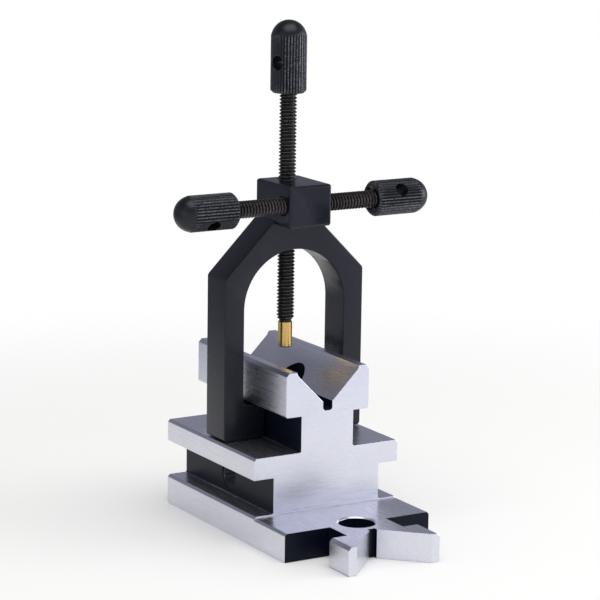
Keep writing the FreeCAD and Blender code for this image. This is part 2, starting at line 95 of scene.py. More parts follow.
def placeCamera():
    turn, tilt, roll = (radians(camera[key]) for key in ("azimuth", "elevation", "roll"))
    forward = Vector((sin(turn) * cos(tilt), cos(turn) * cos(tilt), -sin(tilt)))
    right = forward.cross(Vector((0, 0, 1))).normalized()
    up = right.cross(forward)
    rolledRight = right * cos(roll) + up * sin(roll)
    rolledUp = up * cos(roll) - right * sin(roll)
    data = bpy.data.cameras.new("camera")
    data.lens = camera["lens"]
    data.sensor_width = 36
    data.clip_end = 20
    seat = bpy.data.objects.new("camera", data)
    bpy.context.scene.collection.objects.link(seat)
    rotation = Matrix((rolledRight, rolledUp, -forward)).transposed()
    place = Vector(camera["lookAt"]) - forward * camera["distance"]
    seat.matrix_world = Matrix.Translation(place * mm) @ rotation.to_4x4()
    bpy.context.scene.camera = seat


placeCamera()
print("camera placed")


# ---- studio: white surround, pale floor, soft boxes

studio = {
    "surround": "#ffffff",
    "fill": 0.55,               # strength of the plain light from all round
    "horizonGlow": 1.0,         # what polished faces see behind the set, low down
    "ceilingGlow": 0.16,        # and what they see higher up
    "rearGlow": 0.34,           # and behind the block, where the room is darker
    "reflected": "#e6e9ff",     # cool tint of what polished faces see
    "floorColour": "#f4f4f3",
    "floorSize": 8.0,           # metres
    "floorFade": (0.16, 0.42),  # metres from the block where the floor fades into white
    "aim": (0, 0.02, 0.08),     # where the soft boxes point
}
softBoxes = {
    # name: (azimuth and elevation seen from the block, distance m, width m, height m, watts)
    "keyBox": (62, 6, 0.95, 0.75, 0.62, 5.5),
    "topBox": (-10, 76, 0.9, 0.9, 0.7, 5.0),
    "leftBox": (-78, 24, 1.1, 0.35, 0.9, 0.5),
}


def buildWorld():
    world = bpy.data.worlds.new("whiteSurround")
    bpy.context.scene.world = world
    world.use_nodes = True
    tree = world.node_tree
    tree.nodes.clear()
    rays = addNode(tree, "ShaderNodeLightPath")
    direction = addNode(tree, "ShaderNodeTexCoord")
    height = addNode(tree, "ShaderNodeSeparateXYZ", {0: direction.outputs["Generated"]})
    above = addNode(tree, "ShaderNodeMapRange", {
        "Value": height.outputs["Z"], "From Min": 0.2, "From Max": 0.5,
        "To Min": studio["horizonGlow"], "To Max": studio["ceilingGlow"]})
    rear = addNode(tree, "ShaderNodeMapRange", {
        "Value": height.outputs["Y"], "From Min": -0.1, "From Max": 0.75,
        "To Min": studio["horizonGlow"], "To Max": studio["rearGlow"]})
    glow = addNode(tree, "ShaderNodeMath", {
        0: above.outputs[0], 1: rear.outputs[0]}, operation="MINIMUM")
    plain = addNode(tree, "ShaderNodeBackground", {
        "Color": linearColour(studio["surround"]), "Strength": studio["fill"]})
    seen = addNode(tree, "ShaderNodeBackground", {
        "Color": linearColour(studio["surround"]), "Strength": 1.0})
    mirrored = addNode(tree, "ShaderNodeBackground", {
        "Color": linearColour(studio["reflected"]), "Strength": glow.outputs[0]})
    direct = addNode(tree, "ShaderNodeMath", {
        0: rays.outputs["Is Camera Ray"],
        1: rays.outputs["Is Transmission Ray"]}, operation="MAXIMUM")
    polished = addNode(tree, "ShaderNodeMixShader", {
        0: rays.outputs["Is Glossy Ray"], 1: plain.outputs[0], 2: mirrored.outputs[0]})
    surround = addNode(tree, "ShaderNodeMixShader", {
        0: direct.outputs[0], 1: polished.outputs[0], 2: seen.outputs[0]})
    addNode(tree, "ShaderNodeOutputWorld", {"Surface": surround.outputs[0]})


def paleFloorMaterial():
    # matt white board: lit and shadowed near the block, plain white further off
    material, tree = newMaterial("paleFloorBoard")
    place = addNode(tree, "ShaderNodeTexCoord")
    reach = addNode(tree, "ShaderNodeVectorMath", {0: place.outputs["Object"]}, operation="LENGTH")
    near, far = studio["floorFade"]
    fade = addNode(tree, "ShaderNodeMapRange", {
        "Value": reach.outputs["Value"], "From Min": near, "From Max": far},
        interpolation_type="SMOOTHSTEP")
    rays = addNode(tree, "ShaderNodeLightPath")
    clear = addNode(tree, "ShaderNodeMath", {
        0: rays.outputs["Is Camera Ray"], 1: rays.outputs["Is Glossy Ray"]}, operation="MAXIMUM")
    white = addNode(tree, "ShaderNodeMath", {0: clear.outputs[0], 1: fade.outputs[0]}, operation="MULTIPLY")
    board = addNode(tree, "ShaderNodeBsdfDiffuse", {"Color": linearColour(studio["floorColour"])})
    plain = addNode(tree, "ShaderNodeEmission", {"Color": linearColour(studio["surround"])})
    depth = addNode(tree, "ShaderNodeSeparateXYZ", {0: place.outputs["Object"]})
    rear = addNode(tree, "ShaderNodeMapRange", {
        "Value": depth.outputs["Y"], "From Min": -0.1, "From Max": 0.4,
        "To Min": studio["horizonGlow"], "To Max": studio["rearGlow"]})
    reflected = addNode(tree, "ShaderNodeEmission", {
        "Color": linearColour(studio["reflected"]), "Strength": rear.outputs[0]})
    seen = addNode(tree, "ShaderNodeMixShader", {
        0: rays.outputs["Is Glossy Ray"], 1: plain.outputs[0], 2: reflected.outputs[0]})
    mixed = addNode(tree, "ShaderNodeMixShader", {
        0: white.outputs[0], 1: board.outputs[0], 2: seen.outputs[0]})
    addNode(tree, "ShaderNodeOutputMaterial", {"Surface": mixed.outputs[0]})
    return material


def buildFloor():
    half = studio["floorSize"] / 2
    mesh = bpy.data.meshes.new("floor")
    corners = [(-half, -half, 0), (half, -half, 0), (half, half, 0), (-half, half, 0)]
    mesh.from_pydata(corners, [], [(0, 1, 2, 3)])
    mesh.materials.append(paleFloorMaterial())
    newPiece("floor", mesh)


def hangSoftBoxes():
    centre = Vector(studio["aim"])
    for name, (around, above, distance, width, height, watts) in softBoxes.items():
        turn, tilt = radians(around), radians(above)
        away = Vector((sin(turn) * cos(tilt), -cos(turn) * cos(tilt), sin(tilt)))
        data = bpy.data.lights.new(name, "AREA")
        data.shape = "RECTANGLE"
        data.size = width
        data.size_y = height
        data.energy = watts
        box = bpy.data.objects.new(name, data)
        bpy.context.scene.collection.objects.link(box)
        box.location = centre + away * distance
        box.rotation_euler = away.to_track_quat("Z", "Y").to_euler()


buildWorld()
buildFloor()
hangSoftBoxes()
scene = bpy.context.scene
scene.view_settings.view_transform = "Standard"
print("studio lit")


# ---- materials

groundSteel = {
    "colour": "#dcdde6",
    "roughness": 0.29,
    "scratchSpacing": 0.35,   # mm; real wheel marks are finer, these are as fine as show
    "scratchLength": 18.0,    # mm
    "scratchDepth": 0.006,    # mm
    "shinier": 0.05,          # how far the roughness falls and rises along the marks
    "duller": 0.07,
    "patches": 60.0,          # faint stains, to the metre
    "stain": 0.96,            # brightness of the darkest
    "endFace": 0.8,           # how squarely a face looks along the block to be marked across
}
blackOxide = {"colour": "#0a0f1e", "roughness": 0.34, "grain": 0.5, "depth": 0.008}
blackEnamel = {"colour": "#0c0f1a", "roughness": 0.3, "orangePeel": 2.2, "depth": 0.003}
blackedThread = {"colour": "#1d1a1b", "worn": "#8d857f", "roughness": 0.3}
blackedKnurl = {"colour": "#191b20", "worn": "#83868d", "roughness": 0.34}
turnedBrass = {"colour": "#d9b46a", "roughness": 0.24, "ringSpacing": 0.3, "depth": 0.006}


def groundSteelMaterial():
    # surface-ground tool steel: bright, with fine straight wheel marks along each face
    material, tree = newMaterial("groundToolSteel")
    place = addNode(tree, "ShaderNodeTexCoord")
    fine = 1 / (groundSteel["scratchSpacing"] * mm)
    slow = 1 / (groundSteel["scratchLength"] * mm)
    acrossFront = addNode(tree, "ShaderNodeMapping", {
        "Vector": place.outputs["Object"], "Scale": (slow, fine, fine)})
    alongBlock = addNode(tree, "ShaderNodeMapping", {
        "Vector": place.outputs["Object"], "Scale": (fine, slow, fine)})
    facing = addNode(tree, "ShaderNodeSeparateXYZ", {0: place.outputs["Normal"]})
    towards = addNode(tree, "ShaderNodeMath", {0: facing.outputs["Y"]}, operation="ABSOLUTE")
    isEnd = addNode(tree, "ShaderNodeMath", {
        0: towards.outputs[0], 1: groundSteel["endFace"]}, operation="GREATER_THAN")
    grain = addNode(tree, "ShaderNodeMix", {
        0: isEnd.outputs[0], 4: alongBlock.outputs[0], 5: acrossFront.outputs[0]}, data_type="VECTOR")
    marks = addNode(tree, "ShaderNodeTexNoise", {
        "Vector": grain.outputs[1], "Scale": 1.0, "Detail": 3.0, "Roughness": 0.6})
    patches = addNode(tree, "ShaderNodeTexNoise", {
        "Vector": place.outputs["Object"], "Scale": groundSteel["patches"], "Detail": 2.0})
    gloss = addNode(tree, "ShaderNodeMapRange", {
        "Value": marks.outputs[0], "From Min": 0.3, "From Max": 0.7,
        "To Min": groundSteel["roughness"] - groundSteel["shinier"],
        "To Max": groundSteel["roughness"] + groundSteel["duller"]})
    tone = addNode(tree, "ShaderNodeMapRange", {
        "Value": patches.outputs[0], "From Min": 0.3, "From Max": 0.7,
        "To Min": groundSteel["stain"], "To Max": 1.0})
    colour = addNode(tree, "ShaderNodeVectorMath", {
        0: linearColour(groundSteel["colour"])[:3], "Scale": tone.outputs[0]}, operation="SCALE")
    bump = addNode(tree, "ShaderNodeBump", {
        "Height": marks.outputs[0], "Strength": 1.0, "Distance": groundSteel["scratchDepth"] * mm})
    steel = addNode(tree, "ShaderNodeBsdfPrincipled", {
        "Base Color": colour.outputs[0], "Metallic": 1.0,
        "Roughness": gloss.outputs[0], "Normal": bump.outputs[0]})
    addNode(tree, "ShaderNodeOutputMaterial", {"Surface": steel.outputs[0]})
    return material


def blackOxideMaterial():
    # milled faces left black from the oxide bath: dark, faintly blue, a dull sheen
    material, tree = newMaterial("blackOxideSteel")
    place = addNode(tree, "ShaderNodeTexCoord")
    grain = addNode(tree, "ShaderNodeTexNoise", {
        "Vector": place.outputs["Object"], "Scale": 1 / (blackOxide["grain"] * mm), "Detail": 3.0})
    bump = addNode(tree, "ShaderNodeBump", {
        "Height": grain.outputs[0], "Strength": 1.0, "Distance": blackOxide["depth"] * mm})
    oxide = addNode(tree, "ShaderNodeBsdfPrincipled", {
        "Base Color": linearColour(blackOxide["colour"]), "Roughness": blackOxide["roughness"],
        "Specular IOR Level": 0.14,
        "Normal": bump.outputs[0]})
    addNode(tree, "ShaderNodeOutputMaterial", {"Surface": oxide.outputs[0]})
    return material


def blackEnamelMaterial():
    # baked black enamel over a casting: smooth and glossy with a slight orange peel
    material, tree = newMaterial("blackEnamelCasting")
    place = addNode(tree, "ShaderNodeTexCoord")
    peel = addNode(tree, "ShaderNodeTexNoise", {
        "Vector": place.outputs["Object"], "Scale": 1 / (blackEnamel["orangePeel"] * mm), "Detail": 2.0})
    bump = addNode(tree, "ShaderNodeBump", {
        "Height": peel.outputs[0], "Strength": 1.0, "Distance": blackEnamel["depth"] * mm})
    gloss = addNode(tree, "ShaderNodeMapRange", {
        "Value": peel.outputs[0], "From Min": 0.3, "From Max": 0.7,
        "To Min": blackEnamel["roughness"] - 0.03, "To Max": blackEnamel["roughness"] + 0.05})
    enamel = addNode(tree, "ShaderNodeBsdfPrincipled", {
        "Base Color": linearColour(blackEnamel["colour"]), "Roughness": gloss.outputs[0],
        "Specular IOR Level": 0.3, "Coat Weight": 0.12, "Coat Roughness": 0.1, "Normal": bump.outputs[0]})
    addNode(tree, "ShaderNodeOutputMaterial", {"Surface": enamel.outputs[0]})
    return material


def blackedSteelMaterial(name, look, grain):
    # blacked steel: dark in the grooves, rubbed towards bare grey on the crests
    material, tree = newMaterial(name)
    place = addNode(tree, "ShaderNodeTexCoord")
    crest = addNode(tree, "ShaderNodeAttribute", attribute_name="crest")
    speck = addNode(tree, "ShaderNodeTexNoise", {
        "Vector": place.outputs["Object"], "Scale": 1 / (grain * mm), "Detail": 4.0})
    rubbed = addNode(tree, "ShaderNodeMath", {
        0: crest.outputs["Fac"], 1: speck.outputs[0]}, operation="MULTIPLY")
    worn = addNode(tree, "ShaderNodeMapRange", {
        "Value": rubbed.outputs[0], "From Min": 0.38, "From Max": 0.72, "To Min": 0.0, "To Max": 0.75})
    colour = addNode(tree, "ShaderNodeMix", {
        0: worn.outputs[0], 6: linearColour(look["colour"]), 7: linearColour(look["worn"])}, data_type="RGBA")
    metal = addNode(tree, "ShaderNodeMapRange", {
        "Value": worn.outputs[0], "To Min": 0.35, "To Max": 0.9})
    bump = addNode(tree, "ShaderNodeBump", {
        "Height": speck.outputs[0], "Strength": 1.0, "Distance": 0.01 * mm})
    steel = addNode(tree, "ShaderNodeBsdfPrincipled", {
        "Base Color": colour.outputs[2], "Metallic": metal.outputs[0],
        "Roughness": look["roughness"], "Normal": bump.outputs[0]})
    addNode(tree, "ShaderNodeOutputMaterial", {"Surface": steel.outputs[0]})
    return material


def turnedBrassMaterial():
    # brass bar, turned: warm and bright with fine rings round it
    material, tree = newMaterial("turnedBrass")
    place = addNode(tree, "ShaderNodeTexCoord")
    rings = addNode(tree, "ShaderNodeTexNoise", {
        "Vector": place.outputs["Object"], "Scale": 1 / (turnedBrass["ringSpacing"] * mm), "Detail": 2.0})
    bump = addNode(tree, "ShaderNodeBump", {
        "Height": rings.outputs[0], "Strength": 1.0, "Distance": turnedBrass["depth"] * mm})
    brass = addNode(tree, "ShaderNodeBsdfPrincipled", {
        "Base Color": linearColour(turnedBrass["colour"]), "Metallic": 1.0,
        "Roughness": turnedBrass["roughness"], "Normal": bump.outputs[0]})
    addNode(tree, "ShaderNodeOutputMaterial", {"Surface": brass.outputs[0]})
    return material


steelBright = groundSteelMaterial()
steelBlack = blackOxideMaterial()
enamelBlack = blackEnamelMaterial()
threadBlack = blackedSteelMaterial("blackedThread", blackedThread, 0.4)
knurlBlack = blackedSteelMaterial("blackedKnurl", blackedKnurl, 0.5)
brassBright = turnedBrassMaterial()
print("materials made")


# ---- block and yoke, from merged copies of their CAD meshes

edges = {
    "blockBreak": 0.16,   # mm, width of the broken edges
    "yokeBreak": 0,       # the yoke's edges are cast round already
    "sharpAngle": 28,     # degrees
    "flat": 0.3,          # degrees, below which faces count as one
    "weld": 0.0005,       # mm
}


def mergedCopy(node, name, breakWidth):
    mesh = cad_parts[node].data.copy()
    mesh.name = name
    mesh.materials.clear()
    shape = bmesh.new()
    shape.from_mesh(mesh)
    bmesh.ops.remove_doubles(shape, verts=shape.verts, dist=edges["weld"] * mm)
    if breakWidth:
        bmesh.ops.dissolve_limit(
            shape, angle_limit=radians(edges["flat"]), verts=shape.verts, edges=shape.edges)
    for face in shape.faces:
        face.smooth = True
    for edge in shape.edges:
        edge.smooth = edge.calc_face_angle(pi) < radians(edges["sharpAngle"])
    shape.to_mesh(mesh)
    shape.free()
    piece = newPiece(name, mesh)
    if not breakWidth:
        return piece
    bevel = piece.modifiers.new("brokenEdges", "BEVEL")
    bevel.width = breakWidth * mm
    bevel.segments = 2
    bevel.limit_method = "ANGLE"
    bevel.angle_limit = radians(edges["sharpAngle"])
    bevel.use_clamp_overlap = False
    bevel.harden_normals = True
    return piece


block = mergedCopy("v_block", "block", edges["blockBreak"])
blockFinish = {
    # mm: half widths of the webs, and the heights that take in each pair of slots
    "lowerWeb": 22.05,
    "lowerSlots": (0, 26),
    "upperWeb": 10.85,
    "upperSlots": (30, 47),
    "rootFillet": 0.5,
    "vRelief": 1.93,
    "vReliefHeights": (44, 50.3),
    "front": -1,           # what lies before this is shelf and jaw
    "shelfEnd": -21.67,    # where the full width stops before the neck
    "wingBack": -32.97,
    "neck": 11.7,
    "neckSlack": 0.2,
    "jawRelief": 1.55,
    "slack": 0.1,
    # bores: how far back each stands, and the radius that takes in its mouth
    "postBore": (32.4, 8.45),
    "shelfHole": (-20.87, 7.1),
    # how far a face may lean from the direction it is known by
    "lean": 0.5,
    "boreLean": 0.3,
}


def isBlackFace(centre, normal):
    size = blockFinish
    x, y, z = abs(centre.x) / mm, centre.y / mm, centre.z / mm
    slack, lean = size["slack"], size["lean"]
    onWeb = False
    webs = ((size["lowerWeb"], size["lowerSlots"]), (size["upperWeb"], size["upperSlots"]))
    for half, (bottom, top) in webs:
        onWeb = onWeb or (bottom < z < top and x < half + size["rootFillet"])
    if onWeb and y > size["front"] and abs(normal.x) > lean:
        return True                # web walls and their root fillets
    bottom, top = size["vReliefHeights"]
    if bottom < z < top and x < size["vRelief"] and abs(normal.y) < lean:
        return True                # relief slot under the V
    if y >= size["front"] or abs(normal.z) >= lean:
        return False
    if abs(y - size["shelfEnd"]) < slack or abs(y - size["wingBack"]) < slack:
        return True                # shelf ends and the backs of the wings
    besideNeck = size["wingBack"] - slack < y < size["shelfEnd"] + slack
    if besideNeck and abs(x - size["neck"]) < size["neckSlack"]:
        return True                # neck walls
    return x < size["jawRelief"]   # relief slot in the jaw


def inBore(centre, normal):
    if abs(normal.z) >= blockFinish["boreLean"]:
        return False
    for back, radius in (blockFinish["postBore"], blockFinish["shelfHole"]):
        if Vector((centre.x / mm, centre.y / mm - back)).length < radius:
            return True
    return False


def finishBlock():
    block.data.materials.append(steelBright)
    block.data.materials.append(steelBlack)
    for face in block.data.polygons:
        dark = isBlackFace(face.center, face.normal) or inBore(face.center, face.normal)
        face.material_index = 1 if dark else 0
    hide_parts("v_block")
    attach(block, "block")


finishBlock()
yoke = mergedCopy("yoke", "clampYoke", edges["yokeBreak"])
yoke.data.materials.append(enamelBlack)
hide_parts("yoke")
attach(yoke, "yoke")
print("block and yoke finished")


# ---- threads, wound by a node tree

thread = {
    "pitch": 1.27,          # mm, twenty threads to the inch
    "majorRadius": 3.17,
    "rootRadius": 2.56,
    "lead": 0.9,
    "leadRadius": 2.2,
    "columns": 48,          # points round one turn
    "rowsPerTurn": 8,
    "flat": 0.125,          # flat crest and flat root, as a share of the pitch
    "sharpAngle": 32,       # degrees
    "weld": 0.002,          # mm
}


def smoothWithSharpEdges(tree, geometry, angle):
    # faces smooth, edges sharper than the angle left hard
    soft = addNode(tree, "GeometryNodeSetShadeSmooth", {0: geometry}, domain="FACE")
    bend = addNode(tree, "GeometryNodeInputMeshEdgeAngle")
    hard = addNode(tree, "ShaderNodeMath", {
        0: bend.outputs["Unsigned Angle"], 1: angle}, operation="GREATER_THAN")
    return addNode(tree, "GeometryNodeSetShadeSmooth", {
        "Geometry": soft.outputs[0], "Selection": hard.outputs[0], "Shade Smooth": False}, domain="EDGE")


def addInputs(tree, sockets):
    for name, kind, value in sockets:
        socket = tree.interface.new_socket(name, in_out="INPUT", socket_type=kind)
        if value is not None:
            socket.default_value = value
    tree.interface.new_socket("Geometry", in_out="OUTPUT", socket_type="NodeSocketGeometry")


def threadTree():
    tree = bpy.data.node_groups.new("cutThread", "GeometryNodeTree")
    addInputs(tree, [
        ("Geometry", "NodeSocketGeometry", None),
        ("Length", "NodeSocketFloat", 0.02),
        ("Pitch", "NodeSocketFloat", thread["pitch"] * mm),
        ("Major Radius", "NodeSocketFloat", thread["majorRadius"] * mm),
        ("Root Radius", "NodeSocketFloat", thread["rootRadius"] * mm),
        ("Lead", "NodeSocketFloat", thread["lead"] * mm),
        ("Lead Radius", "NodeSocketFloat", thread["leadRadius"] * mm),
        ("Columns", "NodeSocketInt", thread["columns"]),
        ("Rows Per Turn", "NodeSocketInt", thread["rowsPerTurn"]),
        ("Material", "NodeSocketMaterial", None),
    ])
    given = addNode(tree, "NodeGroupInput").outputs
    place = addNode(tree, "GeometryNodeInputPosition")
    split = addNode(tree, "ShaderNodeSeparateXYZ", {0: place.outputs[0]})
    crestEdge = 0.5 - thread["flat"] / 2     # from the middle of a root to the edge of a crest
    flank = 0.5 - thread["flat"]
    sums = (
        # how many rows and columns of points the sheet needs; two more rows close the ends
        ("pitches", "DIVIDE", "Length", "Pitch"),
        ("turns", "ADD", "pitches", 1.0),
        ("rowsExact", "MULTIPLY", "turns", "Rows Per Turn"),
        ("rows", "CEIL", "rowsExact"),
        ("columnPoints", "ADD", "Columns", 1.0),
        ("rowPoints", "ADD", "rows", 3.0),
        # where a point is on the sheet, and how high the helix has risen there
        ("around", "ADD", "across", 0.5),
        ("share", "ADD", "along", 0.5),
        ("rowSteps", "ADD", "rows", 2.0),
        ("rowExact", "MULTIPLY", "share", "rowSteps"),
        ("rowIndex", "ROUND", "rowExact"),
        ("realRow", "SUBTRACT", "rowIndex", 1.0),
        ("rowAbove", "MAXIMUM", "realRow", 0.0),
        ("keptRow", "MINIMUM", "rowAbove", "rows"),
        ("turn", "DIVIDE", "keptRow", "Rows Per Turn"),
        ("woundTurn", "ADD", "turn", "around"),
        ("risen", "SUBTRACT", "woundTurn", 1.0),
        ("rise", "MULTIPLY", "risen", "Pitch"),
        ("riseAbove", "MAXIMUM", "rise", 0.0),
        ("height", "MINIMUM", "riseAbove", "Length"),
        # profile: flat crest, straight flanks, flat root
        ("phaseTurn", "ADD", "turn", crestEdge),
        ("phase", "FRACT", "phaseTurn"),
        ("fromMiddle", "SUBTRACT", "phase", 0.5),
        ("offCrest", "ABSOLUTE", "fromMiddle"),
        ("upFlank", "SUBTRACT", crestEdge, "offCrest"),
        ("crestExact", "DIVIDE", "upFlank", flank),
        ("crestAbove", "MAXIMUM", "crestExact", 0.0),
        ("crest", "MINIMUM", "crestAbove", 1.0),
        ("depth", "SUBTRACT", "Major Radius", "Root Radius"),
        ("crestHeight", "MULTIPLY", "crest", "depth"),
        ("cut", "ADD", "Root Radius", "crestHeight"),
        # the cone at the free end, and the two rows that close the ends
        ("coneRise", "SUBTRACT", "Major Radius", "Lead Radius"),
        ("slope", "DIVIDE", "coneRise", "Lead"),
        ("upCone", "MULTIPLY", "height", "slope"),
        ("cone", "ADD", "Lead Radius", "upCone"),
        ("coned", "MINIMUM", "cut", "cone"),
        ("isWall", "COMPARE", "realRow", "keptRow", 0.25),
        ("radius", "MULTIPLY", "coned", "isWall"),
        ("angle", "MULTIPLY", "around", 2 * pi),
        ("cosine", "COSINE", "angle"),
        ("sine", "SINE", "angle"),
        ("x", "MULTIPLY", "radius", "cosine"),
        ("y", "MULTIPLY", "radius", "sine"),
    )
    known = {socket.name: socket for socket in given}
    known.update(across=split.outputs["X"], along=split.outputs["Y"])
    for name, operation, *parts in sums:
        taken = {slot: known.get(part, part) for slot, part in enumerate(parts)}
        known[name] = addNode(tree, "ShaderNodeMath", taken, operation=operation).outputs[0]

    sheet = addNode(tree, "GeometryNodeMeshGrid", {
        "Size X": 1.0, "Size Y": 1.0,
        "Vertices X": known["columnPoints"], "Vertices Y": known["rowPoints"]})
    wound = addNode(tree, "ShaderNodeCombineXYZ", {0: known["x"], 1: known["y"], 2: known["height"]})
    marked = addNode(tree, "GeometryNodeStoreNamedAttribute", {
        "Geometry": sheet.outputs["Mesh"], "Name": "crest", "Value": known["crest"]},
        data_type="FLOAT", domain="POINT")
    bent = addNode(tree, "GeometryNodeSetPosition", {
        "Geometry": marked.outputs[0], "Position": wound.outputs[0]})
    closed = addNode(tree, "GeometryNodeMergeByDistance", {
        "Geometry": bent.outputs[0], "Distance": thread["weld"] * mm})
    shaded = smoothWithSharpEdges(tree, closed.outputs[0], radians(thread["sharpAngle"]))
    real = addNode(tree, "GeometryNodeRealizeInstances", {0: shaded.outputs[0]})
    coated = addNode(tree, "GeometryNodeSetMaterial", {0: real.outputs[0], "Material": given["Material"]})
    addNode(tree, "NodeGroupOutput", {0: coated.outputs[0]})
    return tree


def runTree(name, tree, values, start=None):
    # gives the tree's result as a plain mesh, with its named inputs set first
    carrier = newPiece(name, start or bpy.data.meshes.new(name))
    modifier = carrier.modifiers.new(name, "NODES")
    modifier.node_group = tree
    for socket in tree.interface.items_tree:
        if socket.in_out == "INPUT" and socket.name in values:
            modifier[socket.identifier] = values[socket.name]
    graph = bpy.context.evaluated_depsgraph_get()
    mesh = bpy.data.meshes.new_from_object(carrier.evaluated_get(graph))
    mesh.name = name
    bpy.data.objects.remove(carrier)
    return mesh


def turnedMesh(name, profile, segments, material):
    # spins a profile of (radius, height) pairs, in mm, that starts and ends on the axis
    shape = bmesh.new()
    points = [shape.verts.new((radius * mm, 0, height * mm)) for radius, height in profile]
    lines = [shape.edges.new(pair) for pair in zip(points, points[1:])]
    bmesh.ops.spin(
        shape, geom=points + lines, cent=(0, 0, 0), axis=(0, 0, 1), angle=2 * pi,
        steps=segments, use_merge=True)
    bmesh.ops.remove_doubles(shape, verts=shape.verts, dist=edges["weld"] * mm)
    bmesh.ops.recalc_face_normals(shape, faces=shape.faces)
    for face in shape.faces:
        face.smooth = True
    for edge in shape.edges:
        edge.smooth = edge.calc_face_angle(pi) < radians(edges["sharpAngle"])
    mesh = bpy.data.meshes.new(name)
    shape.to_mesh(mesh)
    shape.free()
    mesh.materials.append(material)
    return mesh


# ---- knobs: a turned blank that a node tree knurls and bores

knob = {
    "radius": 6.5,
    "chamfer": 0.9,
    "dish": 1.0,
    "dishRadius": 4.7,
    "shoulder": 0.15,
    "domeRise": 5.3,
    "domeSteps": 12,
    "ridges": 36,
    "grooveDepth": 0.4,
    "land": 0.28,            # share of a ridge that is flat
    "barRadius": 2.5,
    "countersink": 0.4,
    "coneStart": 0.5,        # how far inside the bore each countersink cone starts
    "boreSides": 40,
    "floorRadius": 3.22,     # flat floor of the dish, round the screw
    "rimRun": 0.25,          # soft corner at the top of the knurl
    "rimDrop": 0.12,
    "sideShare": 0.85,       # of the radius, beyond which the surface counts as the side
    "sharpAngle": 24,        # degrees
    "facetsPerRidge": 8,
}


def knobProfile(knurlLength):
    foot = knob["radius"] - knob["shoulder"]
    rise = knob["domeRise"]
    ball = (foot ** 2 + rise ** 2) / (2 * rise)       # radius of the sphere that the dome is cut from
    profile = [
        (0, knob["dish"]), (knob["floorRadius"], knob["dish"]), (knob["dishRadius"], 0),
        (knob["radius"] - knob["chamfer"], 0), (knob["radius"], knob["chamfer"]),
        (knob["radius"], knurlLength - knob["rimRun"]),
        (knob["radius"] - knob["rimDrop"], knurlLength)]
    for step in range(knob["domeSteps"] + 1):
        height = rise * sin(pi / 2 * step / knob["domeSteps"])
        radius = max(ball ** 2 - (height + ball - rise) ** 2, 0) ** 0.5
        profile.append((min(radius, foot), knurlLength + height))
    profile[-1] = (0, knurlLength + rise)
    return profile


